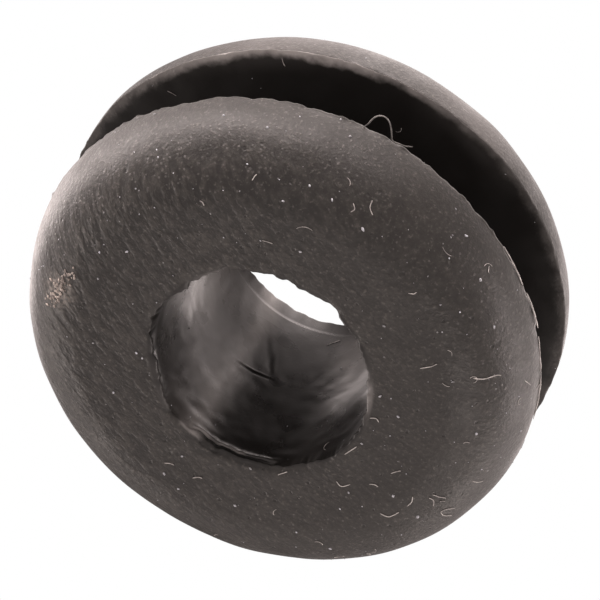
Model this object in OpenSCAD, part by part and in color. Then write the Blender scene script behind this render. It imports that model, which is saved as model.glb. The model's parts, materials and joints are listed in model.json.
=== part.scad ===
// Rubber grommet: one moulded ring with two equal flanges and a groove between them.
// It lies flat on one flange. The origin is on the bore axis, halfway between the flanges,
// so the mid-plane of the panel that the groove grips is z = 0.

/* [Flanges] */
// Outside diameter of both flanges
flange_d = 14; // [11:0.5:20]
// Thickness of one flange, from the groove's side to its outer face
flange_t = 2.2; // [1:0.05:4]
// Radius of the round shoulder between a flange's outer face and its rim
shoulder_r = 2.1; // [0.5:0.05:2.5]
// Width of the straight land left at the rim, beside the sharp groove edge
rim_land = 0.1; // [0.05:0.05:1]

/* [Groove] */
// Gap between the two flanges, which is the panel thickness that the grommet takes
groove_w = 2.4; // [0.8:0.1:6]
// Diameter at the bottom of the groove, which is the hole that the grommet fits
groove_d = 9.5; // [7.5:0.5:13]
// Fillet between the bottom of the groove and each flange
groove_fillet_r = 0.3; // [0.1:0.05:1]

/* [Bore] */
// Diameter of the hole that the cable passes through
bore_d = 6; // [4:0.5:8]
// How much wider, on each side, the shallow step at each mouth is than the bore
mouth_step = 0.05; // [0.02:0.01:0.3]
// How far the step reaches in from each face
mouth_depth = 0.6; // [0.2:0.05:1.5]
// Radius of the rounded edge between a mouth and its face
mouth_edge_r = 0.05; // [0.05:0.05:0.2]

/* [Hidden] */
$fn = 120;

flange_r = flange_d / 2;
groove_r = groove_d / 2;
bore_r = bore_d / 2;
mouth_r = bore_r + mouth_step;
half_groove = groove_w / 2;
half_height = half_groove + flange_t;
// The shoulder and the fillets take no more than the wall that they round.
shoulder = min(shoulder_r, flange_t - rim_land);
groove_fillet = min(groove_fillet_r, half_groove);
// Cuts run past the faces that they open by this much
past = 1;

// What is left of a square corner of side r, at the origin, once its quarter circle
// round (-r, -r) is kept: the waste outside a rounded edge, or the stuff of a fillet.
module corner_waste(r) {
    difference() {
        translate([-r, -r]) square(r);
        translate([-r, -r]) circle(r);
    }
}

// The waste outside the shoulder, carried past the rim and the face
module shoulder_cut() {
    translate([flange_r, half_height]) corner_waste(shoulder);
}

// The groove's upper half, with a fillet where its bottom meets the flange
module groove_cut() {
    difference() {
        translate([groove_r, -past]) square([flange_r - groove_r + past, half_groove + past]);
        translate([groove_r, half_groove]) mirror([1, 0]) corner_waste(groove_fillet);
    }
}

// The bore, and the shallow wider step at its mouth
module bore_cut() {
    translate([0, -past]) square([bore_r, half_height + 2 * past]);
    translate([0, half_height - mouth_depth]) square([mouth_r, mouth_depth + past]);
    translate([mouth_r, half_height]) mirror([1, 0]) corner_waste(mouth_edge_r);
}

// Section through the upper half of the ring, with the axis along Y
module half_section() {
    difference() {
        square([flange_r, half_height]);
        shoulder_cut();
        groove_cut();
        bore_cut();
    }
}

module grommet() {
    color([0.25, 0.24, 0.22])
        rotate_extrude() {
            half_section();
            mirror([0, 1]) half_section();
        }
}

grommet();
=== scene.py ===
# %% [markdown]
# # A moulded rubber grommet
#
# A grommet lines a hole in sheet metal so that a cable can pass through without being cut. It is one
# ring of black rubber: two round-shouldered flanges, a groove between them that grips the sheet, and
# a bore for the cable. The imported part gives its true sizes. Here we build the looks on top of it:
# the ring as a detailed mesh, its rubber, the dust and lint that rubber always gathers, and a studio.

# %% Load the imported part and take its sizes
import json
import math

import bmesh
import bpy
import numpy as np
from mathutils import Matrix, Quaternion, Vector, noise
from mathutils.bvhtree import BVHTree


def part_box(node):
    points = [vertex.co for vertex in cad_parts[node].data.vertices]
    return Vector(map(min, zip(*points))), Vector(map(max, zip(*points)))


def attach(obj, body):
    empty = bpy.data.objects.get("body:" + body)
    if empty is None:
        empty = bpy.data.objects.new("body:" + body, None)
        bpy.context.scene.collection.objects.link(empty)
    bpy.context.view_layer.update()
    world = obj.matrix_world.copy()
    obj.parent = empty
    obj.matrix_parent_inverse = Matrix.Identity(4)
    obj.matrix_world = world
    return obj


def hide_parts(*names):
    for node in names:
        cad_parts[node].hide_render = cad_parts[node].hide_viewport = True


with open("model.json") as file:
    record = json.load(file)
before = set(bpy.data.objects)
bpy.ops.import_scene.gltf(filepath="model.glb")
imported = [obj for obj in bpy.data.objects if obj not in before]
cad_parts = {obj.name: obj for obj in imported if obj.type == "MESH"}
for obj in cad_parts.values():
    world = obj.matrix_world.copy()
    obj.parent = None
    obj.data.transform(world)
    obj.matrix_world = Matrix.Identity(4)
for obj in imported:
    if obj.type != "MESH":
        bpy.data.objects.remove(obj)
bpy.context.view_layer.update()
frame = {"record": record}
MM = 0.001
lowest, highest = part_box("grommet")
flange_r = highest.x / MM
half_height = highest.z / MM
bore_mount = next(m for m in frame["record"]["mounts"] if m["name"] == "bore")
bore_r = bore_mount["dims"]["r_mm"]
print(f"flange radius {flange_r:.2f} mm, half height {half_height:.2f} mm, bore radius {bore_r:.2f} mm")

# %% [markdown]
# ## The camera
#
# A long lens from far away keeps the circles nearly free of perspective, as in a catalogue close-up.
# The grommet lies flat, so the camera looks down on it at about 50 degrees and is rolled, which
# turns the picture until the lower flange shows at the upper right. Its angles, distance and aim were
# solved beforehand by a scratch program, from the part's edges in the reference picture.

# %% Camera
CAMERA_ELEVATION = math.radians(51.48)
CAMERA_ROLL = math.radians(150.7)
CAMERA_DISTANCE = 168 * MM
LENS_MM = 382.2
SENSOR_MM = 36
AIM = Vector((-0.022, -0.591, 0.730)) * MM

level_right = Vector((1, 0, 0))
level_up = Vector((0, math.sin(CAMERA_ELEVATION), math.cos(CAMERA_ELEVATION)))
toward_camera = Vector((0, -math.cos(CAMERA_ELEVATION), math.sin(CAMERA_ELEVATION)))
picture_right = math.cos(CAMERA_ROLL) * level_right - math.sin(CAMERA_ROLL) * level_up
picture_up = math.sin(CAMERA_ROLL) * level_right + math.cos(CAMERA_ROLL) * level_up

lens = bpy.data.cameras.new("camera")
lens.sensor_width = SENSOR_MM
lens.lens = LENS_MM
lens.clip_start = 10 * MM
lens.clip_end = 2
camera = bpy.data.objects.new("camera", lens)
bpy.context.scene.collection.objects.link(camera)
camera.rotation_mode = "QUATERNION"
camera_axes = Matrix((picture_right, picture_up, toward_camera)).transposed()
camera.rotation_quaternion = camera_axes.to_quaternion()
camera.location = AIM + toward_camera * CAMERA_DISTANCE
bpy.context.scene.camera = camera
bpy.context.scene.view_settings.view_transform = "Standard"
print(f"camera {CAMERA_DISTANCE / MM:.0f} mm away with a {LENS_MM:.0f} mm lens")

# %% [markdown]
# ## Floor, backdrop and soft lights
#
# The floor and the backdrop are one white, so no horizon shows. Black rubber is drawn mostly by what
# it mirrors, and a white floor all round would put a bright line on every edge. So the floor shows
# white to the lens only. Everything else sees a dim table with soft pools of light on it, as if
# cards of white paper lay round the part, and each pool lights the shoulder that leans towards it.
# Two small pools lie under the bore and light its wall from below. Three soft boxes do the rest: a
# low kicker that skims the flat face, one above it, and a wide low one from the side. A scratch
# program that fitted lights to the reference picture's tones gave most of the pools, the boxes and
# their first brightness, and they were changed by hand from there.

# %% Helpers for node trees
def add_node(tree, kind, **settings):
    """A new node with its inputs set: a socket is linked, anything else is a plain value.

    An input is named by its label, or by its number as i0, i1 and so on where labels repeat.
    """
    made = tree.nodes.new(kind)
    for name, value in settings.items():
        if hasattr(made, name) and name not in made.inputs:
            setattr(made, name, value)
            continue
        by_number = name[0] == "i" and name[1:].isdigit()
        socket = made.inputs[int(name[1:])] if by_number else made.inputs[name]
        if isinstance(value, bpy.types.NodeSocket):
            tree.links.new(value, socket)
        else:
            socket.default_value = value
    return made


def maths(tree, operation, *values):
    """One step of arithmetic on sockets or numbers."""
    made = tree.nodes.new("ShaderNodeMath")
    made.operation = operation
    for socket, value in zip(made.inputs, values):
        if isinstance(value, bpy.types.NodeSocket):
            tree.links.new(value, socket)
        else:
            socket.default_value = value
    return made.outputs[0]


# %% The table as rings of faces, fine in the middle, with a second finish far out
TABLE_RINGS = [1.5, 3, 5, 8, 14, 24, 40, 65, 110, 600]
TABLE_SIDES = 48
LIT_RINGS = 9
GAP_UNDER_PART = 0.05

table = bmesh.new()
turns = [math.tau * k / TABLE_SIDES for k in range(TABLE_SIDES)]
rings = []
for ring_mm in TABLE_RINGS:
    reach = ring_mm * MM
    rings.append([table.verts.new((reach * math.cos(t), reach * math.sin(t), 0)) for t in turns])
table.faces.new(rings[0])
for at, (inner, outer) in enumerate(zip(rings, rings[1:]), start=1):
    for k in range(TABLE_SIDES):
        after = (k + 1) % TABLE_SIDES
        face = table.faces.new((inner[k], outer[k], outer[after], inner[after]))
        face.material_index = int(at >= LIT_RINGS)
table_mesh = bpy.data.meshes.new("floor")
table.to_mesh(table_mesh)
table.free()
floor = bpy.data.objects.new("floor", table_mesh)
floor.location.z = lowest.z - GAP_UNDER_PART * MM
bpy.context.scene.collection.objects.link(floor)
print(f"table {2 * TABLE_RINGS[-1]} mm across")

# %% Pools of light on the table
# Round the part: azimuth in degrees, distance and width in millimetres, brightness.
POOLS = [(300, 60, 25, 23.5), (330, 45, 22, 9.0), (0, 35, 12, 13.5), (185, 60, 25, 17.0),
         (30, 16, 6, 5.2), (280, 9, 3.5, 3.0), (180, 8, 6, 1.9), (240, 8, 3, 0.6)]
# Under the bore: x, y and width in millimetres, brightness.
BORE_POOLS = [(-1.3, 0.3, 1.0, 3.4), (0.0, 3.3, 1.0, 4.5)]
# Close under the part the table is in shade: this much is left inside the first radius, all of it
# outside the second.
SHADE_LEFT = 0.1
SHADE_RADII = (3.3, 5.5)
STUDIO_TINT = (1, 0.88, 0.85, 1)

floor_finish = bpy.data.materials.new("white_table")
floor_finish.use_nodes = True
tree = floor_finish.node_tree
tree.nodes.clear()
on_table = add_node(tree, "ShaderNodeTexCoord").outputs["Object"]


def pool(x_mm, y_mm, wide_mm):
    """1 in the middle of a soft round pool, and almost 0 at two widths from it."""
    centre = (x_mm * MM, y_mm * MM, 0)
    apart = add_node(tree, "ShaderNodeVectorMath", operation="DISTANCE", i0=on_table, i1=centre)
    share = maths(tree, "DIVIDE", apart.outputs["Value"], wide_mm * MM)
    return maths(tree, "EXPONENT", maths(tree, "MULTIPLY", maths(tree, "MULTIPLY", share, share), -1.0))


glow = 0.0
for azimuth_deg, far, wide, brightness in POOLS:
    turn = math.radians(azimuth_deg)
    lit = pool(far * math.cos(turn), far * math.sin(turn), wide)
    glow = maths(tree, "MULTIPLY_ADD", lit, brightness, glow)
from_middle = add_node(tree, "ShaderNodeVectorMath", operation="LENGTH", i0=on_table).outputs["Value"]
shading = add_node(tree, "ShaderNodeMapRange", Value=from_middle)
shading.interpolation_type = "SMOOTHSTEP"
shading.inputs["From Min"].default_value = SHADE_RADII[0] * MM
shading.inputs["From Max"].default_value = SHADE_RADII[1] * MM
shading.inputs["To Min"].default_value = SHADE_LEFT
shading.inputs["To Max"].default_value = 1.0
glow = maths(tree, "MULTIPLY", glow, shading.outputs["Result"])
for x_mm, y_mm, wide, brightness in BORE_POOLS:
    glow = maths(tree, "MULTIPLY_ADD", pool(x_mm, y_mm, wide), brightness, glow)
print(f"{len(POOLS)} pools round the part and {len(BORE_POOLS)} under its bore")


# %% White to the lens, and something else to every other ray
def seen_by_lens(tree, kind, others, other_color, output):
    """White where the camera looks, and a glow of that strength and colour for all other rays."""
    ray = add_node(tree, "ShaderNodeLightPath")
    white = add_node(tree, kind, Color=(1, 1, 1, 1), Strength=1.0)
    dim = add_node(tree, kind, Color=other_color, Strength=others)
    pick = add_node(tree, "ShaderNodeMixShader", i0=ray.outputs["Is Camera Ray"],
                    i1=dim.outputs[0], i2=white.outputs[0])
    add_node(tree, output, Surface=pick.outputs[0])


seen_by_lens(tree, "ShaderNodeEmission", glow, STUDIO_TINT, "ShaderNodeOutputMaterial")
floor.data.materials.append(floor_finish)
far_finish = bpy.data.materials.new("white_far_table")
far_finish.use_nodes = True
far_finish.node_tree.nodes.clear()
seen_by_lens(far_finish.node_tree, "ShaderNodeEmission", 0.0, STUDIO_TINT, "ShaderNodeOutputMaterial")
floor.data.materials.append(far_finish)

# %% Backdrop
AMBIENT = 0.62

world = bpy.data.worlds.new("studio")
bpy.context.scene.world = world
world.use_nodes = True
world.node_tree.nodes.clear()
seen_by_lens(world.node_tree, "ShaderNodeBackground", AMBIENT, STUDIO_TINT, "ShaderNodeOutputWorld")
print("white table and backdrop")


# %% Soft boxes
LIGHT_DISTANCE = 160
WARM = (1, 0.885, 0.83)


def soft_box(name, azimuth, elevation, width, height, brightness):
    """A soft box that faces the part. Azimuth 0 is +X, and brightness is what a mirror would show."""
    a, e = math.radians(azimuth), math.radians(elevation)
    toward = Vector((math.cos(a) * math.cos(e), math.sin(a) * math.cos(e), math.sin(e)))
    lamp = bpy.data.lights.new(name, "AREA")
    lamp.shape = "RECTANGLE"
    lamp.size = width * MM
    lamp.size_y = height * MM
    lamp.energy = brightness * math.pi * lamp.size * lamp.size_y
    lamp.color = WARM
    made = bpy.data.objects.new(name, lamp)
    made.location = toward * LIGHT_DISTANCE * MM
    made.rotation_mode = "QUATERNION"
    made.rotation_quaternion = toward.to_track_quat("Z", "Y")
    bpy.context.scene.collection.objects.link(made)
    print(f"{name}: {lamp.energy:.2f} W")
    return made


soft_box("kicker", azimuth=140, elevation=3, width=60, height=60, brightness=4.1)
soft_box("top", azimuth=140, elevation=50, width=60, height=60, brightness=3.0)
soft_box("side", azimuth=60, elevation=10, width=110, height=110, brightness=2.3)

# %% [markdown]
# ## The section of the ring
#
# The ring is a lathe shape: one closed section turned about the axis. A Blender user might draw the
# section as a curve and spin it, but here every ring of points is needed later, to roughen the edges
# and the bore, so the section is written as short runs of points. Runs are close together where
# light shows every dent, and wide apart in the groove, which is nearly black.

# %% Sizes of the section that the part's box doesn't give
HALF_GROOVE = 1.2
GROOVE_R = 4.75
GROOVE_FILLET = 0.3
SHOULDER_R = 2.1
STEP_WIDTH = 0.05
STEP_DEPTH = 0.6
MOUTH_EDGE = 0.05
MOUTH_R = bore_r + STEP_WIDTH
half_wall = half_height - STEP_DEPTH
flat_r = flange_r - SHOULDER_R
print(f"flat faces from {MOUTH_R + MOUTH_EDGE:.2f} to {flat_r:.2f} mm out")


# %% Straight runs and arcs of points
def straight(start, end, step):
    """Points from start up to, but not including, end."""
    start, end = np.array(start, float), np.array(end, float)
    count = max(1, round(float(np.hypot(*(end - start))) / step))
    return start + (end - start) * np.arange(count)[:, None] / count


def arc(centre, radius, from_deg, to_deg, step):
    """Points along an arc, without its last one."""
    turn = math.radians(to_deg - from_deg)
    count = max(2, round(abs(turn) * radius / step))
    angles = math.radians(from_deg) + turn * np.arange(count) / count
    return np.array(centre) + radius * np.stack([np.cos(angles), np.sin(angles)], 1)


# %% One flange, from its mouth edge out over the shoulder and back to the groove's middle
EDGE_LAND = 0.06


def flange_runs(step_face, step_shoulder, step_groove):
    """The upper flange's runs, with that far between points on its face, shoulder and groove side."""
    shoulder_z = half_height - SHOULDER_R
    root = GROOVE_R + GROOVE_FILLET
    return [
        arc((MOUTH_R + MOUTH_EDGE, half_height - MOUTH_EDGE), MOUTH_EDGE, 180, 90, 0.03),
        straight((MOUTH_R + MOUTH_EDGE, half_height), (flat_r, half_height), step_face),
        arc((flat_r, shoulder_z), SHOULDER_R, 90, 0, step_shoulder),
        straight((flange_r, shoulder_z), (flange_r, HALF_GROOVE + 0.01), 0.03),
        straight((flange_r, HALF_GROOVE), (flange_r - EDGE_LAND, HALF_GROOVE), 0.03),
        straight((flange_r - EDGE_LAND, HALF_GROOVE), (root, HALF_GROOVE), step_groove),
        arc((root, HALF_GROOVE - GROOVE_FILLET), GROOVE_FILLET, 90, 180, 0.12),
        straight((GROOVE_R, HALF_GROOVE - GROOVE_FILLET), (GROOVE_R, 0), 0.45),
    ]


def mirrored(runs):
    """The same points below the groove, in the order that closes the loop."""
    points = np.concatenate(runs) * (1, -1)
    closing = np.array([[GROOVE_R, 0.0]])
    return np.concatenate([closing, points[::-1]])


# %% The bore, with close rings where its wall is creased and where the lip is torn
def bore_runs():
    """The runs up the bore, from the lower mouth to the upper one."""
    ledge = half_wall
    stops = [-ledge + 0.015, -ledge + 0.05, -0.55, 0.35, 2.0, ledge - 0.02]
    steps = [0.035, 0.2, 0.045, 0.16, 0.07]
    wall = [straight((bore_r, a), (bore_r, b), s) for a, b, s in zip(stops, stops[1:], steps)]
    return [
        straight((MOUTH_R, -half_height + MOUTH_EDGE + 0.01), (MOUTH_R, -ledge - 0.015), 0.15),
        straight((MOUTH_R, -ledge - 0.015), (bore_r, -ledge + 0.015), 0.03),
        *wall,
        straight((bore_r, ledge - 0.02), (MOUTH_R, ledge), 0.02),
        straight((MOUTH_R, ledge), (MOUTH_R, half_height - MOUTH_EDGE), 0.06),
    ]


# %% The whole section
top_flange = np.concatenate(flange_runs(0.075, 0.08, 0.28))
under_flange = mirrored(flange_runs(0.2, 0.13, 0.3))
bore = np.concatenate(bore_runs())
section = np.concatenate([top_flange, under_flange, bore])
print(f"section of {len(section)} points, {len(bore)} of them in the bore")

# %% [markdown]
# ## From a perfect lathe shape to moulded rubber
#
# A perfect ring looks like plastic. The real one has flash that tore off unevenly round both sharp
# edges of the groove, a mouth that a core pin tore, and faint tool marks that the mould left on its
# face. These could be a displacement texture, but then an exported mesh would be smooth again.
# So each one moves the points of the mesh, as arrays of radius and height, one row a ring. A ring of
# 460 points is fine enough for the torn edges.

# %% Turn the section about the axis
AROUND = 460

azimuth = np.broadcast_to(2 * math.pi * np.arange(AROUND) / AROUND, (len(section), AROUND))
radius = np.repeat(section[:, :1], AROUND, 1)
height = np.repeat(section[:, 1:], AROUND, 1)
start_r, start_z = radius.copy(), height.copy()
print(f"{radius.size} points, {2 * radius.size} triangles")


# %% Helpers that say where a point is, and how uneven the rubber is there
def places():
    """The points of all rings as x, y and z in millimetres."""
    return np.stack([radius * np.cos(azimuth), radius * np.sin(azimuth), height], -1)


def ripple(points, size, seed):
    """Smooth noise of about -0.5 to 0.5 at each point; size is the width of its bumps in millimetres."""
    shift = Vector((17.3 * seed, -9.1 * seed, 5.7 * seed))
    flat = points.reshape(-1, 3) / size
    values = [noise.noise(Vector(point) + shift) for point in flat.tolist()]
    return np.array(values).reshape(points.shape[:-1])


def bump(value, centre, width):
    """1 at the centre, and smoothly down to 0 over about two widths to each side."""
    return np.exp(-((value - centre) / width) ** 2)


def along(angle_deg, half_width_deg):
    """1 near that azimuth and 0 away from it."""
    apart = np.degrees(azimuth) - angle_deg
    apart = (apart + 180) % 360 - 180
    return np.exp(-(apart / half_width_deg) ** 2)


# %% Low waves over the whole ring
wave = 0.05 * ripple(places(), 4.0, 1) + 0.02 * ripple(places(), 1.3, 2)
outer = np.clip((start_r - 4.0) / 2.0, 0, 1)
radius += wave * outer
height += 0.6 * wave * np.sign(start_z) * (np.abs(start_z) > HALF_GROOVE + 0.05)
print(f"waves of up to {np.abs(wave).max():.2f} mm")

# %% Torn flash on the two sharp edges of the groove
for side, seed in ((1, 3), (-1, 4)):
    near_edge = (start_r > flange_r - 0.07) * bump(start_z * side, HALF_GROOVE, 0.05)
    rim = np.stack([flange_r * np.cos(azimuth), flange_r * np.sin(azimuth), height * 0 + side], -1)
    tear = 0.04 * ripple(rim, 1.1, seed) + 0.045 * ripple(rim, 0.34, seed + 10)
    tear += 0.05 * ripple(rim, 0.18, seed + 20)
    radius += near_edge * tear * (1 if side > 0 else 0.5)
    height -= near_edge * side * 0.06 * np.clip(ripple(rim, 0.5, seed + 30), 0, 1)
print(f"flash stands out to {radius.max():.2f} mm")

# %% [markdown]
# ## Tool marks
#
# The mould's face was turned on a lathe and then polished, so the rubber carries faint arcs, some
# tenths of a millimetre apart, round a centre far outside the part. A regular wave would look like a
# file's teeth. So the wave is shifted by slow noise, its strength wanders, and noise stretched along
# the arcs breaks it up. Six micrometres is enough: low light across the face makes it show.

# %% Tool marks: arcs on both flat faces, strongest on one side
MARK_CENTRE = (-8.7, -20.7)
MARK_RADIUS = 25
MARK_PITCH = 0.25
MARK_DEPTH = 0.006

points = places()
from_centre = points[..., :2] - MARK_CENTRE
mark_r = np.hypot(from_centre[..., 0], from_centre[..., 1])
mark_a = np.arctan2(from_centre[..., 1], from_centre[..., 0]) * MARK_RADIUS
stretched = np.stack([mark_r / 0.16, mark_a / 1.1, points[..., 2]], -1)
phase = 2 * math.pi * mark_r / MARK_PITCH + 5 * ripple(points, 2.2, 5)
strength = np.clip(0.55 + 0.09 * points[..., 0] + 1.2 * ripple(points, 1.6, 6), 0.1, 1.2)
broken = 0.6 + 1.6 * ripple(stretched, 2.0, 7)
marks = strength * (0.5 * np.sin(phase) * broken + 1.3 * ripple(stretched, 1.0, 8))
facing = np.clip((np.abs(start_z) - 2.3) / 0.6, 0, 1) * (start_r > MOUTH_R + 0.04)
height += MARK_DEPTH * marks * facing * np.sign(start_z)
radius += 0.5 * MARK_DEPTH * marks * facing * (start_r > flat_r)
print(f"tool marks {MARK_DEPTH * 1000:.0f} micrometres deep")

# %% [markdown]
# ## The bore and its mouth
#
# The hole through the ring is where the moulding is worst. The mouth isn't round, because a core pin
# tore it. On one side a thin lip of rubber still stands inside it, with a gap behind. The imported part
# has a shallow step at both mouths. The lower one is kept crisp here, and the upper one is worn to a
# slow flare. Inside, the wall has shallow waves along it, and a fold where the ring was once pinched.
# All of it is shallow, but it is what the eye goes to, so each fault gets its own few lines.

# %% The uneven mouth
# Azimuth and half width in degrees, and how far the edge moves out, in millimetres. They follow the
# mouth's outline in the reference picture, measured in the solved camera's view.
MOUTH_DENTS = [(3, 9, 0.08), (38, 14, -0.2), (63, 8, 0.09), (80, 5, -0.06), (205, 14, -0.12),
               (228, 8, -0.03), (255, 6, 0.04), (270, 7, -0.05), (306, 14, 0.05), (338, 10, -0.09)]

ring = np.stack([MOUTH_R * np.cos(azimuth), MOUTH_R * np.sin(azimuth), start_z * 0 + np.sign(start_z)], -1)
near_mouth = bump(np.abs(start_z), half_height, 0.28) * bump(start_r, MOUTH_R, 0.14)
near_mouth *= np.where(start_z > 0, 1.0, 0.4)
dents = sum(depth * along(at, wide) for at, wide, depth in MOUTH_DENTS)
torn = 0.07 * ripple(ring, 0.9, 11) + 0.08 * ripple(ring, 0.3, 12) + 0.05 * ripple(ring, 0.14, 19)
radius += near_mouth * (dents * (start_z > 0) + torn)
height -= near_mouth * np.sign(start_z) * 0.05 * np.clip(0.3 + 2 * ripple(ring, 0.6, 13), 0, 1)
print(f"{len(MOUTH_DENTS)} dents in the mouth's edge, of up to {np.abs(dents).max():.2f} mm")

# %% The upper step, worn until the wall widens slowly to the mouth
WORN_FROM = half_wall - 0.5

bore_wall = start_r < MOUTH_R + 0.01
slow = np.clip((start_z - WORN_FROM) / (half_height - WORN_FROM), 0, 1) ** 2
radius += bore_wall * (start_z > WORN_FROM) * (bore_r + STEP_WIDTH * slow - start_r)
print(f"upper step worn from {WORN_FROM:.1f} mm upwards")

# %% Waves along the bore, and a swelling on one side
inside = bore_wall * np.clip((half_wall + 0.1 - np.abs(start_z)) / 0.3, 0, 1)
wall = np.stack([bore_r * np.cos(azimuth), bore_r * np.sin(azimuth), start_z * 0.35], -1)
radius += inside * (0.05 * ripple(wall, 1.3, 14) + 0.012 * ripple(places(), 0.35, 15))
radius -= 0.13 * along(158, 13) * bump(start_z, 1.1, 1.0) * bore_wall
print(f"bore radius from {radius[inside == 1].min():.2f} to {radius[inside == 1].max():.2f} mm")


# %% Folds where the ring was pinched
def fold(from_deg, from_z, to_deg, to_z, depth, width):
    """A crease in the bore's wall between two places, with a raised lip below it."""
    ax, az = np.radians(from_deg) * bore_r, from_z
    bx, bz = np.radians(to_deg) * bore_r, to_z
    px, pz = azimuth * bore_r, start_z
    long_x, long_z = bx - ax, bz - az
    share = np.clip(((px - ax) * long_x + (pz - az) * long_z) / (long_x ** 2 + long_z ** 2), 0, 1)
    dx, dz = px - (ax + share * long_x), pz - (az + share * long_z)
    across = (dz * long_x - dx * long_z) / math.hypot(long_x, long_z)
    off_end = np.hypot(dx, dz)
    cut = bump(across, 0.4 * width, width) - 0.8 * bump(across, -0.9 * width, width)
    return depth * cut * np.exp(-((off_end / (2.2 * width)) ** 4)) * (0.3 + 2.4 * share * (1 - share))


FOLDS = [(78, -0.06, 96.5, -0.17, 0.045, 0.042), (86, -1.58, 92, -1.0, 0.03, 0.06),
         (92, -1.0, 95.5, -0.5, 0.03, 0.06)]
for numbers in FOLDS:
    radius += inside * fold(*numbers)
print(f"{len(FOLDS)} folds")

# %% [markdown]
# ## The torn lip
#
# When the core pin was pulled out, a sliver of rubber stayed on at one side of the mouth. It could be
# a strip of its own, but a strip would need to be joined to the ring without a seam. It is easier to
# pull the close rings near the mouth apart: one goes inwards and up as the lip's crest, the next goes
# outwards and down as the gap behind it, and the face next to it sinks a little.

# %% The torn lip that stands inside the mouth
LIP_AT = 97
LIP_HALF_WIDTH = 19

lip = np.exp(-(((np.degrees(azimuth) - LIP_AT) / LIP_HALF_WIDTH) ** 4))
lip *= (start_z > 0) * (start_r < bore_r + 0.4)
uneven = 1 + 1.4 * ripple(ring, 0.7, 16) + 0.8 * ripple(ring, 0.25, 17)
gap = lip * bore_wall * bump(start_z, half_height - 0.07, 0.05)
crest = lip * bore_wall * bump(start_z, half_height - 0.24, 0.07)
outer_side = lip * (1 - bore_wall) * bump(start_r, MOUTH_R + 0.06, 0.07)
radius += -0.22 * crest * uneven + 0.06 * gap + 0.12 * outer_side * uneven
height += 0.15 * crest - 0.32 * gap * uneven - 0.05 * outer_side
print(f"lip {2 * math.radians(LIP_HALF_WIDTH) * bore_r:.1f} mm long")

# %% Where shade is painted into hollows, and where a highlight is painted on the lip's crest and the flange's edge is pale in patches, as numbers that the rubber will read
left_edge = along(28, 16) * bump(start_z, half_height - 0.25, 0.4) * (start_r < MOUTH_R + 0.06)
right_edge = along(160, 16) * bump(start_z, half_height - 0.5, 0.9) * (start_r < MOUTH_R + 0.06)
# Painted shade in the gap behind the torn lip, beside the lip, and along two dark stretches of the mouth's
# edge.
painted_shade = np.clip(1.2 * gap + 0.6 * outer_side + 0.8 * np.maximum(left_edge, right_edge), 0, 1)
# Painted highlight: a pale line along the torn lip's crest.
crest_highlight_and_pale_edge = np.clip(crest * np.clip(0.4 + 2.2 * ripple(ring, 0.5, 18), 0, 1), 0, 1)
flange_edge = bump(start_r, flange_r, 0.03) * bump(start_z, HALF_GROOVE + 0.02, 0.05)
patchy_edge = flange_edge * along(212, 24) * np.clip(0.5 + 2 * ripple(places(), 0.5, 21), 0, 1)
crest_highlight_and_pale_edge = np.maximum(crest_highlight_and_pale_edge, patchy_edge)
print(f"shaded in {np.mean(painted_shade > 0.5):.1%} of the points, {np.mean(crest_highlight_and_pale_edge > 0.5):.1%} rubbed pale")

# %% [markdown]
# ## Build the mesh
#
# Neighbouring rings are joined with quads, and the last ring is joined to the first, so the ring is
# one closed skin with no cap or seam. Its corners are sharp only at the groove's edges, so the faces
# are smooth and the edge rings are so close together that the corner stays crisp. The order of a
# quad's corners decides which way it faces, and a closed skin that faces outwards has a positive
# volume, so the volume is printed as a test. Two numbers are stored at every point for the rubber:
# where shade is painted into hollows, and where the lip's crest gets a painted highlight and the
# flange's edge pale patches.

# %% The grommet piece
def closed_grid(name, points):
    """A mesh from rings of points that close in both directions."""
    rings, around = points.shape[:2]
    index = np.arange(rings * around).reshape(rings, around)
    next_ring, next_around = np.roll(index, -1, 0), np.roll(index, -1, 1)
    across = np.roll(next_ring, -1, 1)
    quads = np.stack([index, next_ring, across, next_around], -1).reshape(-1, 4)
    mesh = bpy.data.meshes.new(name)
    mesh.from_pydata((points.reshape(-1, 3) * MM).tolist(), [], quads.tolist())
    mesh.polygons.foreach_set("use_smooth", np.ones(len(quads), bool))
    mesh.update()
    made = bpy.data.objects.new(name, mesh)
    bpy.context.scene.collection.objects.link(made)
    return made


ring_piece = closed_grid("grommet_ring", places())
for label, values in (("painted_shade", painted_shade), ("crest_highlight_and_pale_edge", crest_highlight_and_pale_edge)):
    layer = ring_piece.data.attributes.new(label, "FLOAT", "POINT")
    layer.data.foreach_set("value", values.astype(np.float32).ravel())
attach(ring_piece, "root")
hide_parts("grommet")
closed = bmesh.new()
closed.from_mesh(ring_piece.data)
print(f"the ring faces outwards round {closed.calc_volume(signed=True) / MM ** 3:.1f} cubic millimetres")
closed.free()

# %% [markdown]
# ## Black rubber that isn't black
#
# Clean rubber is nearly black, and the same black is painted as shade: the groove is made near black
# where shade falls in it, and so is the bore between its bands of painted highlight, some of which
# grow brighter towards the lower mouth. Handled rubber is grey: a film of talc and dust lies on every
# open surface, and fine specks lie on the shoulders. So the shader starts from black, and the film and
# the painted light are laid over it by masks made from the place on the part: how deep in the groove,
# which way round the bore. The bore's wall is worn smoother than the outside, and fine grain and the
# tool marks are also in the bump.

# %% Helpers for the rubber's masks
rubber = bpy.data.materials.new("black_rubber")
rubber.use_nodes = True
tree = rubber.node_tree
shader = tree.nodes["Principled BSDF"]
in_metres = add_node(tree, "ShaderNodeTexCoord").outputs["Object"]
to_millimetres = add_node(tree, "ShaderNodeMapping", Vector=in_metres, Scale=(1 / MM, 1 / MM, 1 / MM))
place = to_millimetres.outputs["Vector"]
axes = add_node(tree, "ShaderNodeSeparateXYZ", Vector=place).outputs


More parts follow.
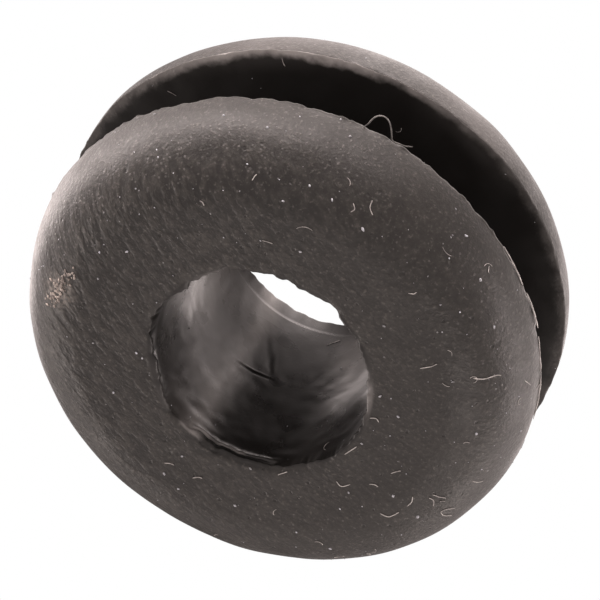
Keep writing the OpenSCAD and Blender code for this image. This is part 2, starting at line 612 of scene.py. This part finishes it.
def hypotenuse(x, y):
    """How far out the place is, from its two distances."""
    squares = maths(tree, "ADD", maths(tree, "MULTIPLY", x, x), maths(tree, "MULTIPLY", y, y))
    return maths(tree, "SQRT", squares)


around = maths(tree, "ARCTAN2", axes["Y"], axes["X"])
out_from_axis = hypotenuse(axes["X"], axes["Y"])
away_from_middle = maths(tree, "ABSOLUTE", axes["Z"])
print("masks work in millimetres, from the place on the part")


# %% Noise, ramps, blends and bands
def speckle(size, detail=2.0, roughness=0.5, at=place):
    """Noise of 0 to 1 with bumps of about that size in millimetres."""
    made = add_node(tree, "ShaderNodeTexNoise", Vector=at, Scale=1 / size, Detail=detail,
                    Roughness=roughness)
    return made.outputs["Fac"]


def ramp(value, low, high, out_low=0.0, out_high=1.0):
    """The value moved smoothly from one range to another, and held inside it."""
    made = add_node(tree, "ShaderNodeMapRange", Value=value)
    made.interpolation_type = "SMOOTHSTEP"
    for socket, number in zip(list(made.inputs)[1:5], (low, high, out_low, out_high)):
        socket.default_value = number
    return made.outputs["Result"]


def blend(amount, a, b):
    """A mix of two colours; each is a socket or three numbers."""
    made = tree.nodes.new("ShaderNodeMix")
    made.data_type = "RGBA"
    made.clamp_factor = True
    for socket, value in zip((made.inputs[0], made.inputs[6], made.inputs[7]), (amount, a, b)):
        if isinstance(value, bpy.types.NodeSocket):
            tree.links.new(value, socket)
        else:
            socket.default_value = (*value, 1) if isinstance(value, tuple) else value
    return made.outputs[2]


def band(angle, centre_deg, half_width_deg):
    """A soft band: 1 at the centre, and almost 0 at twice the half width."""
    apart = maths(tree, "SUBTRACT", angle, math.radians(centre_deg))
    share = maths(tree, "DIVIDE", apart, math.radians(half_width_deg))
    return maths(tree, "EXPONENT", maths(tree, "MULTIPLY", maths(tree, "MULTIPLY", share, share), -1.0))


# %% Masks of the groove: painted shade inside it, and a painted highlight near the edge of the face that looks up
ragged = maths(tree, "SUBTRACT", speckle(0.5, detail=4.0), 0.5)
ragged_out = maths(tree, "MULTIPLY_ADD", ragged, 0.5, out_from_axis)
in_groove = maths(tree, "MULTIPLY", ramp(away_from_middle, 1.32, 1.25), ramp(ragged_out, 7.05, 6.6))
highlight_side = maths(tree, "ADD", 0.1, band(around, -60, 32))
on_groove_face = maths(tree, "MULTIPLY", ramp(axes["Z"], -1.215, -1.20), ramp(axes["Z"], -1.0, -1.1))
on_groove_face = maths(tree, "MULTIPLY", on_groove_face, ramp(ragged_out, 6.7, 7.02))
groove_edge_highlight = maths(tree, "MULTIPLY", on_groove_face, highlight_side)
print("groove masked")

# %% Painted highlights on the lower flange's rim: azimuth and half width in degrees, and how much
RIM_HIGHLIGHTS = [(-52, 15, 0.16), (-107, 12, 0.15)]

on_low_rim = maths(tree, "MULTIPLY", ramp(axes["Z"], -1.16, -1.26), ramp(out_from_axis, 6.2, 6.9))
rim_highlight = 0.0
for at_deg, half_deg, strength in RIM_HIGHLIGHTS:
    share = maths(tree, "MULTIPLY", band(around, at_deg, half_deg), strength)
    rim_highlight = maths(tree, "MULTIPLY_ADD", share, on_low_rim, rim_highlight)
print(f"{len(RIM_HIGHLIGHTS)} highlighted places on the rim")

# %% Bands of painted highlight along the bore
# Azimuth and half width in degrees, how much, and whether it runs up to the upper mouth
BORE_HIGHLIGHT_BANDS = [(39, 13, 1.0, False), (62, 12, 0.24, True), (76, 7, 0.75, True), (137, 10, 0.5, False),
              (-160, 12, 0.5, True), (-98, 9, 0.6, False), (-42, 12, 0.45, True)]

in_bore = ramp(out_from_axis, 3.16, 3.05)
wavy = maths(tree, "MULTIPLY_ADD", maths(tree, "SUBTRACT", speckle(1.6), 0.5), 0.35, around)
# Bands that don't run the whole length are painted brighter towards the lower mouth, where light comes up
# from the table.
lower = ramp(axes["Z"], 1.5, -1.0, 0.08, 1.0)
highlight_bands = 0.0
for at_deg, half_deg, strength, whole_length in BORE_HIGHLIGHT_BANDS:
    mask = maths(tree, "MULTIPLY", band(wavy, at_deg, half_deg), strength)
    highlight_bands = maths(tree, "ADD", highlight_bands, mask if whole_length else maths(tree, "MULTIPLY", mask, lower))
patchy = ramp(speckle(0.8, detail=4.0), 0.3, 0.7, 0.6, 1.0)
bore_highlights = maths(tree, "MULTIPLY", maths(tree, "MULTIPLY", highlight_bands, patchy), in_bore)
print(f"{len(BORE_HIGHLIGHT_BANDS)} bands of talc in the bore")

# %% Streaks along the tool marks, with painted shade strongest on the side where low light shows the marks
mark_x = maths(tree, "SUBTRACT", axes["X"], MARK_CENTRE[0])
mark_y = maths(tree, "SUBTRACT", axes["Y"], MARK_CENTRE[1])
mark_out = hypotenuse(mark_x, mark_y)
mark_turn = maths(tree, "MULTIPLY", maths(tree, "ARCTAN2", mark_y, mark_x), MARK_RADIUS)
mark_place = add_node(tree, "ShaderNodeCombineXYZ", X=maths(tree, "DIVIDE", mark_out, 0.75 * MARK_PITCH),
                      Y=maths(tree, "DIVIDE", mark_turn, 1.7 * MARK_PITCH), Z=axes["Z"]).outputs[0]
streak = speckle(1.0, detail=2.0, at=mark_place)
on_face = maths(tree, "MULTIPLY", ramp(away_from_middle, 2.0, 3.2), ramp(out_from_axis, 3.05, 3.2))
marked = maths(tree, "MULTIPLY", on_face, ramp(axes["X"], -5.5, 4.5, 0.35, 1.0))
streak = maths(tree, "SUBTRACT", ramp(streak, 0.34, 0.66), 0.55)
streak_shade = maths(tree, "MULTIPLY_ADD", streak, marked, 0.5)
print(f"streaks {0.75 * MARK_PITCH:.2f} mm apart")


# %% Small irregular dots
def specks(spacing, size, share, seed):
    """About one dot to each spacing, of which only that share shows."""
    shake = add_node(tree, "ShaderNodeTexNoise", Vector=place, Scale=1 / (1.5 * size), Detail=1.0)
    shaken = add_node(tree, "ShaderNodeVectorMath", operation="MULTIPLY_ADD",
                      i0=shake.outputs["Color"], i1=(size, size, size), i2=place)
    shifted = add_node(tree, "ShaderNodeVectorMath", operation="ADD",
                       i0=shaken.outputs[0], i1=(seed, 2.0 * seed, 3.0 * seed))
    cells = add_node(tree, "ShaderNodeTexVoronoi", Vector=shifted.outputs[0], Scale=1 / spacing)
    dot = ramp(cells.outputs["Distance"], 0.8 * size / spacing, 0.35 * size / spacing)
    chance = add_node(tree, "ShaderNodeSeparateColor", Color=cells.outputs["Color"]).outputs[0]
    return maths(tree, "MULTIPLY", dot, maths(tree, "GREATER_THAN", share, chance))


# %% Bloom, fine dust, pores and a dried crust
CRUST_AT = (5.66, 1.15, 3.23)

open_skin = maths(tree, "SUBTRACT", 1.0, maths(tree, "MAXIMUM", in_groove, in_bore))
bloom_place = maths(tree, "MULTIPLY", ramp(out_from_axis, 5.0, 6.6), ramp(axes["X"], -3.0, 5.0, 0.15, 1.0))
bloom_share = maths(tree, "MULTIPLY_ADD", bloom_place, 0.55, 0.06)
bloom = maths(tree, "MULTIPLY", specks(0.12, 0.05, bloom_share, 3.0), open_skin)
fine_dust = maths(tree, "MULTIPLY", specks(0.5, 0.045, 0.18, 11.0), open_skin)
crust = add_node(tree, "ShaderNodeVectorMath", operation="DISTANCE", i0=place, i1=CRUST_AT).outputs["Value"]
crust = maths(tree, "MULTIPLY", ramp(crust, 0.75, 0.1), ramp(speckle(0.13, detail=4.0), 0.40, 0.66))
painted_shade_mask = add_node(tree, "ShaderNodeAttribute", attribute_name="painted_shade").outputs["Fac"]
crest_highlight_and_pale_edge_mask = add_node(tree, "ShaderNodeAttribute", attribute_name="crest_highlight_and_pale_edge").outputs["Fac"]
pores = maths(tree, "MULTIPLY", specks(0.3, 0.08, 0.35, 23.0), on_face)
print(f"{len(tree.nodes)} nodes in the rubber so far")

# %% [markdown]
# ## The rubber's colour and gloss
#
# Each layer is one blend, laid over the last. The film comes first, darkened along the tool marks.
# Then black goes in as painted shade in the groove and the bore. Then come painted highlights near the
# groove's edge, on the lower rim and along the bore, then pores, talc specks, dust and crust. The two
# stored numbers come last: painted shade in hollows, and a painted highlight on the lip's crest with
# pale patches on the flange's edge. The film itself is only four per cent bright, and it is sandy:
# grains a tenth of a millimetre wide, a little darker or paler than it. Gloss follows the same sand.
# A weak sheen stands for the dust that stands up and catches light at the edges.

# %% Colours of clean rubber, which also serves as painted shade, of what lies on it, and of painted highlights
BARE_RUBBER_AND_SHADE = (0.009, 0.0078, 0.0068)
FILMED = (0.044, 0.0405, 0.036)
TALC_AND_HIGHLIGHT = (0.40, 0.38, 0.365)
FLECK = (0.45, 0.45, 0.46)
PAINTED_RIM_HIGHLIGHT = (0.62, 0.59, 0.57)
CRUST = (0.36, 0.31, 0.27)


def shade(color, share):
    """The colour made darker or lighter."""
    return tuple(c * share for c in color)


print(f"film {max(FILMED) / max(BARE_RUBBER_AND_SHADE):.1f} times as bright as clean rubber")

# %% Layers of colour
mottle = ramp(speckle(1.6, detail=3.0), 0.3, 0.7)
sandy = speckle(0.11, detail=3.0, roughness=0.65)
outside = blend(mottle, shade(FILMED, 0.85), shade(FILMED, 1.2))
# Painted shade: the film is darkened along the tool marks, most on the side where low light shows them.
outside = blend(streak_shade, shade(FILMED, 0.35), outside)
outside = blend(ramp(sandy, 0.4, 0.65, 0.0, 0.6), outside, shade(FILMED, 0.4))
outside = blend(ramp(sandy, 0.44, 0.28, 0.0, 0.7), outside, shade(FILMED, 2.2))
# Painted shade: the groove is made near black where shade falls in it.
colour = blend(in_groove, outside, BARE_RUBBER_AND_SHADE)
# Painted highlight: a pale band near the edge of the lower flange's groove face, brightest on one side.
colour = blend(groove_edge_highlight, colour, PAINTED_RIM_HIGHLIGHT)
# Painted highlight: two pale places on the lower flange's rim.
colour = blend(rim_highlight, colour, PAINTED_RIM_HIGHLIGHT)
# Painted shade: the bore is made near black under its bands of painted highlight.
colour = blend(in_bore, colour, BARE_RUBBER_AND_SHADE)
# Painted highlight: pale bands along the bore.
colour = blend(maths(tree, "MULTIPLY", bore_highlights, 0.9), colour, TALC_AND_HIGHLIGHT)
colour = blend(maths(tree, "MULTIPLY", pores, 0.6), colour, BARE_RUBBER_AND_SHADE)
colour = blend(maths(tree, "MULTIPLY", bloom, 0.14), colour, TALC_AND_HIGHLIGHT)
colour = blend(maths(tree, "MULTIPLY", fine_dust, 0.55), colour, FLECK)
colour = blend(maths(tree, "MULTIPLY", crust, 0.6), colour, CRUST)
# Painted shade: the stored hollows are made darker than clean rubber.
colour = blend(painted_shade_mask, colour, shade(BARE_RUBBER_AND_SHADE, 0.5))
# Painted highlight on the lip's crest, and pale patches on the flange's edge.
colour = blend(maths(tree, "MULTIPLY", crest_highlight_and_pale_edge_mask, 0.6), colour, TALC_AND_HIGHLIGHT)
tree.links.new(colour, shader.inputs["Base Color"])
print("colour linked")

# %% Roughness and sheen
ROUGHNESS = (0.37, 0.50)
SAND_ROUGHNESS = 0.05
BORE_SMOOTHER = 0.13

rough = ramp(speckle(0.9, detail=3.0), 0.3, 0.7, *ROUGHNESS)
sand = ramp(sandy, 0.3, 0.7, -SAND_ROUGHNESS, SAND_ROUGHNESS)
rough = maths(tree, "ADD", rough, maths(tree, "MULTIPLY", open_skin, sand))
rough = maths(tree, "MULTIPLY_ADD", in_bore, -BORE_SMOOTHER, rough)
tree.links.new(rough, shader.inputs["Roughness"])
shader.inputs["Sheen Weight"].default_value = 0.15
shader.inputs["Sheen Roughness"].default_value = 0.4
print(f"roughness {ROUGHNESS[0]} to {ROUGHNESS[1]}, and {BORE_SMOOTHER} less in the bore")

# %% Grain in the bump
GRAIN_DEPTH = 0.025 * MM

grain = maths(tree, "MULTIPLY", sandy, maths(tree, "MULTIPLY_ADD", open_skin, -0.7, -0.12))
height_of_skin = maths(tree, "MULTIPLY_ADD", streak_shade, 0.6, grain)
height_of_skin = maths(tree, "MULTIPLY_ADD", pores, -0.7, height_of_skin)
height_of_skin = maths(tree, "MULTIPLY_ADD", bloom, 0.2, height_of_skin)
skin = add_node(tree, "ShaderNodeBump", Height=height_of_skin, Distance=GRAIN_DEPTH, Strength=1.0)
tree.links.new(skin.outputs["Normal"], shader.inputs["Normal"])
ring_piece.data.materials.append(rubber)
print(f"{len(tree.nodes)} nodes in the rubber")

# %% [markdown]
# ## Dust, lint and a caught hair
#
# Rubber is slightly sticky, so it is never clean. Painted dots would do from far away, but close up
# each grain has a bright top and a dark side, and each fibre lifts off at its ends. So they are small
# meshes of their own: crumpled grains, thin tubes laid over the surface, one hair caught on the
# flange's sharp edge, and a smear of dried crumbs. Each is seated on the mesh by asking it for the
# nearest point.

# %% Places on the surface
grommet_tree = BVHTree.FromObject(ring_piece, bpy.context.evaluated_depsgraph_get())
draw = np.random.default_rng(42)
ring_mesh = ring_piece.data
areas = np.empty(len(ring_mesh.polygons))
ring_mesh.polygons.foreach_get("area", areas)
print(f"{areas.sum() / MM ** 2:.0f} square millimetres of rubber to lie on")


def on_top(r, azimuth_deg):
    """The place and the normal on the upper flange, at that radius in millimetres and that azimuth."""
    tilt = math.asin(min(1.0, max(0.0, (r - flat_r) / SHOULDER_R)))
    turn = math.radians(azimuth_deg)
    z = half_height - SHOULDER_R * (1 - math.cos(tilt))
    aim = Vector((r * math.cos(turn), r * math.sin(turn), z))
    place, normal, _, _ = grommet_tree.find_nearest(aim * MM)
    return place / MM, normal


def anywhere(count, wanted):
    """Random places on the mesh, even over its area, where wanted(x, y, z) holds."""
    found = []
    while len(found) < count:
        face = ring_mesh.polygons[int(draw.choice(len(areas), p=areas / areas.sum()))]
        if wanted(*(face.center / MM)):
            found.append((face.center / MM, face.normal.copy()))
    return found


# %% From a bmesh to a piece that rides with the ring
def piece_from(made, name, finish):
    """The bmesh as a piece of that name, with its finish."""
    mesh = bpy.data.meshes.new(name)
    made.to_mesh(mesh)
    made.free()
    mesh.polygons.foreach_set("use_smooth", np.ones(len(mesh.polygons), bool))
    mesh.materials.append(finish)
    piece = bpy.data.objects.new(name, mesh)
    bpy.context.scene.collection.objects.link(piece)
    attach(piece, "root")
    print(f"{name}: {len(mesh.polygons)} faces")
    return piece


# %% Crumpled grains
def grains_piece(name, seats, sizes, finish):
    """One mesh of small crumpled grains, each sunk a little into its seat."""
    made = bmesh.new()
    for (place, normal), size in zip(seats, sizes):
        before = len(made.verts)
        turned = normal.to_track_quat("Z", "Y") @ Quaternion((0, 0, 1), draw.uniform(0, math.tau))
        stretch = Vector((draw.uniform(0.8, 1.5), draw.uniform(0.6, 1.0), draw.uniform(0.5, 0.8)))
        bmesh.ops.create_icosphere(made, subdivisions=2, radius=1.0)
        made.verts.ensure_lookup_table()
        for vertex in made.verts[before:]:
            crumple = 1 + 0.5 * noise.noise(vertex.co * 1.7 + Vector((before, 0, 0)))
            local = vertex.co * stretch * size * crumple
            vertex.co = (place + turned @ local + normal * size * 0.3) * MM
    return piece_from(made, name, finish)


# %% Finishes of dust, fibres, hair and crumbs
def lint_finish(name, dark, pale, roughness):
    """A matt finish whose tone changes from crumb to crumb."""
    material = bpy.data.materials.new(name)
    material.use_nodes = True
    nodes = material.node_tree
    in_metres = add_node(nodes, "ShaderNodeTexCoord").outputs["Object"]
    spots = add_node(nodes, "ShaderNodeTexNoise", Vector=in_metres, Scale=1 / (0.25 * MM), Detail=2.0)
    tone = add_node(nodes, "ShaderNodeMapRange", Value=spots.outputs["Fac"])
    for label, number in (("From Min", 0.35), ("From Max", 0.65)):
        tone.inputs[label].default_value = number
    mix = nodes.nodes.new("ShaderNodeMix")
    mix.data_type = "RGBA"
    nodes.links.new(tone.outputs["Result"], mix.inputs[0])
    mix.inputs[6].default_value = (*dark, 1)
    mix.inputs[7].default_value = (*pale, 1)
    principled = nodes.nodes["Principled BSDF"]
    nodes.links.new(mix.outputs[2], principled.inputs["Base Color"])
    principled.inputs["Roughness"].default_value = roughness
    fuzz = add_node(nodes, "ShaderNodeBump", Height=spots.outputs["Fac"], Distance=0.01 * MM, Strength=0.5)
    nodes.links.new(fuzz.outputs["Normal"], principled.inputs["Normal"])
    return material


dust_finish = lint_finish("pale_dust", (0.30, 0.30, 0.31), (0.85, 0.87, 0.95), 0.6)
fibre_finish = lint_finish("grey_fibre", (0.32, 0.30, 0.29), (0.72, 0.69, 0.66), 0.5)
hair_finish = lint_finish("dark_hair", (0.10, 0.095, 0.09), (0.26, 0.25, 0.24), 0.55)
crumb_finish = lint_finish("dried_crumb", (0.24, 0.21, 0.19), (0.58, 0.51, 0.46), 0.8)
print("four finishes for the lint")

# %% Dust: the bright grains one by one, then a fine scatter
# Radius in millimetres and azimuth in degrees. These grains were read off the reference picture by
# eye, and a scratch program turned them into places on the face with the solved camera.
BRIGHT = [(3.4, 26.5), (3.25, 29), (3.3, 202), (3.85, 194), (5.3, 212), (5.9, 195), (6.85, 244.5),
          (6.65, 235), (6.95, 250), (7.0, 281), (6.9, 305.5), (5.65, 264.5), (6.5, 223.5), (4.0, 236),
          (4.35, 45), (4.6, 25), (4.7, 344), (5.2, 351), (4.85, 359.5), (6.0, 281.5), (5.45, 287),
          (5.9, 275), (6.95, 277.5), (5.8, 161.5), (4.9, 162.5), (4.2, 149.5), (3.3, 172), (3.6, 202),
          (5.15, 125), (4.6, 105), (3.9, 80), (4.75, 79.5), (4.9, 86), (3.25, 109), (4.15, 278),
          (5.7, 235.5), (6.4, 321), (6.8, 295)]

seats = [on_top(*spot) for spot in BRIGHT]
sizes = list(draw.uniform(0.024, 0.042, len(seats)))
above = HALF_GROOVE + 0.05
seats += anywhere(170, lambda x, y, z: z > above)
seats += anywhere(190, lambda x, y, z: z <= above)
sizes += list(draw.lognormal(math.log(0.013), 0.35, len(seats) - len(sizes)).clip(0.007, 0.028))
grains_piece("dust_grains", seats, sizes, dust_finish)

# %% A smear of dried crumbs on the shoulder
# The trail starts at azimuth 17 degrees and thins out towards 0, and its far end lies further out.
TRAIL_DEG = 17
turns = TRAIL_DEG - TRAIL_DEG * draw.beta(1.3, 2.0, 90)
crumbs = [on_top(5.46 + 0.027 * turn + draw.normal(0, 0.10), turn + draw.normal(0, 1.0)) for turn in turns]
grains_piece("dried_crumbs", crumbs, draw.uniform(0.014, 0.042, len(crumbs)), crumb_finish)


# %% [markdown]
# ## Fibres and a hair
#
# Lint is textile fibre, some fifteen to thirty micrometres thick, curled and lying flat. A particle
# system could strew hair over the mesh, but its strands are no mesh and would be lost in the export.
# So each fibre is a six-sided tube with thinner ends. The ones that stand out, and
# the hair, follow points read off the reference picture by eye, which a scratch program turned into
# places on the face like the grains. The rest wander over the surface from a random start.

# %% Thin tubes
def tube(made, points, thick, sides=6):
    """A thin closed tube along the points, added to the bmesh."""
    points = [Vector(point) for point in points]
    rings = []
    across = (points[1] - points[0]).orthogonal().normalized()
    for at, point in enumerate(points):
        forward = (points[min(at + 1, len(points) - 1)] - points[max(at - 1, 0)]).normalized()
        across = (across - forward * across.dot(forward)).normalized()
        other = forward.cross(across)
        taper = thick * (0.45 if at in (0, len(points) - 1) else 1.0)
        ring = []
        for side in range(sides):
            t = math.tau * side / sides
            out = (across * math.cos(t) + other * math.sin(t)) * taper
            ring.append(made.verts.new((point + out) * MM))
        rings.append(ring)
    for low, high in zip(rings, rings[1:]):
        for side in range(sides):
            after = (side + 1) % sides
            made.faces.new((low[side], low[after], high[after], high[side]))
    made.faces.new(rings[0][::-1])
    made.faces.new(rings[-1])


def smooth_path(points, steps):
    """A smooth curve through the points."""
    points = [np.array(point, float) for point in points]
    padded = [2 * points[0] - points[1], *points, 2 * points[-1] - points[-2]]
    path = []
    for p0, p1, p2, p3 in zip(padded, padded[1:], padded[2:], padded[3:]):
        for t in np.arange(steps) / steps:
            path.append(0.5 * (2 * p1 + (p2 - p0) * t + (2 * p0 - 5 * p1 + 4 * p2 - p3) * t ** 2
                               + (3 * p1 - p0 - 3 * p2 + p3) * t ** 3))
    return [*path, points[-1]]


# %% Fibres that stand out, each as places of radius in millimetres and azimuth in degrees
LAID = [[(4.5, 217), (4.8, 217.5), (5.0, 218.5)],
        [(5.8, 212.5), (6.05, 211.5), (6.3, 211.5), (6.4, 211)],
        [(3.15, 188), (3.3, 189), (3.4, 188)],
        [(3.2, 161), (3.22, 164.5), (3.25, 169)],
        [(3.75, 148), (3.95, 148.5), (4.0, 152.5)],
        [(4.4, 169), (4.48, 171), (4.55, 172.5)],
        [(4.25, 159), (4.35, 160.5), (4.45, 161)],
        [(5.6, 171), (5.8, 171), (5.95, 171.5)],
        [(5.6, 169.5), (5.75, 169), (5.85, 167.5)],
        [(6.35, 168.5), (6.2, 167.5), (6.15, 166), (6.3, 165), (6.45, 165.5)],
        [(5.9, 169.5), (5.95, 170), (6.0, 170.2)],
        [(5.1, 154.5), (5.3, 155.5), (5.35, 157.5), (5.35, 159.5)],
        [(5.25, 167), (5.35, 165), (5.35, 163)],
        [(5.65, 191.5), (5.7, 192), (5.8, 192)],
        [(6.05, 270), (5.95, 269), (5.85, 269.5)],
        [(6.3, 266.5), (6.15, 266), (6.05, 264.5)],
        [(5.2, 243), (5.3, 242), (5.4, 242)],
        [(5.8, 296), (5.9, 295.5), (5.95, 295)],
        [(5.25, 311.5), (5.2, 310.8), (5.1, 310.5)],
        [(4.45, 77), (4.35, 78.5), (4.3, 80)],
        [(4.3, 88), (4.2, 89.5), (4.15, 91)],
        [(3.3, 122.5), (3.25, 125), (3.2, 127.5)],
        [(6.85, 236), (6.83, 235.5), (6.8, 235)]]

fibres = bmesh.new()
for places_of_one in LAID:
    laid = smooth_path(places_of_one, 5)
    lifts = 0.012 + 0.03 * np.linspace(-1, 1, len(laid)) ** 4 * draw.uniform(0.2, 1.0)
    path = []
    for (r, azimuth_deg), lift in zip(laid, lifts):
        place, normal = on_top(r, azimuth_deg)
        path.append(place + normal * lift)
    tube(fibres, path, draw.uniform(0.010, 0.016))
print(f"{len(LAID)} fibres that stand out")

# %% A few more fibres anywhere, most of them on one side
above = HALF_GROOVE + 0.1
starts = anywhere(22, lambda x, y, z: z > above and x < 1.5) + anywhere(16, lambda x, y, z: z <= above)
for start, normal in starts:
    heading = normal.orthogonal().normalized()
    heading.rotate(Quaternion(normal, draw.uniform(0, math.tau)))
    curl = draw.normal(0, 0.35)
    step = draw.uniform(0.025, 0.06)
    path = [start + normal * 0.01]
    for _ in range(8):
        place, normal, _, _ = grommet_tree.find_nearest((path[-1] + heading * step) * MM)
        path.append(place / MM + normal * 0.014)
        heading = (path[-1] - path[-2]).normalized()
        heading.rotate(Quaternion(normal, curl))
    tube(fibres, path, draw.uniform(0.006, 0.010))
print(f"{len(starts)} more fibres")

# %% Threads of lint along the upper flange's edge, each from one azimuth to another
EDGE_THREADS = [(236, 226), (224, 215), (213, 204), (203, 191)]
THREAD_THICK = 0.018

for from_deg, to_deg in EDGE_THREADS:
    turns = np.radians(np.linspace(from_deg, to_deg, 12))
    drift = draw.normal(0, 0.012, (12, 2)).cumsum(0) * 0.4
    path = []
    for t, (dr, dz) in zip(turns, drift):
        r = flange_r + 0.02 + dr
        path.append((r * math.cos(t), r * math.sin(t), HALF_GROOVE + 0.04 + dz))
    tube(fibres, path, THREAD_THICK)
piece_from(fibres, "lint_fibres", fibre_finish)

# %% The caught hair, as a loop that stands out from the flange's edge and an end that lies along it
HAIR = [(0.72, -6.95, 1.16), (0.66, -7.12, 1.22), (0.62, -7.38, 1.27), (0.53, -7.56, 1.30),
        (0.40, -7.63, 1.30), (0.24, -7.57, 1.28), (0.10, -7.38, 1.26), (0.0, -7.2, 1.25),
        (-0.1, -7.06, 1.27), (-0.3, -7.06, 1.24), (-0.46, -7.08, 1.22), (-0.62, -7.17, 1.22)]
HAIR_THICK = 0.020

hair = bmesh.new()
tube(hair, smooth_path(HAIR, 4), HAIR_THICK)
piece_from(hair, "caught_hair", hair_finish)
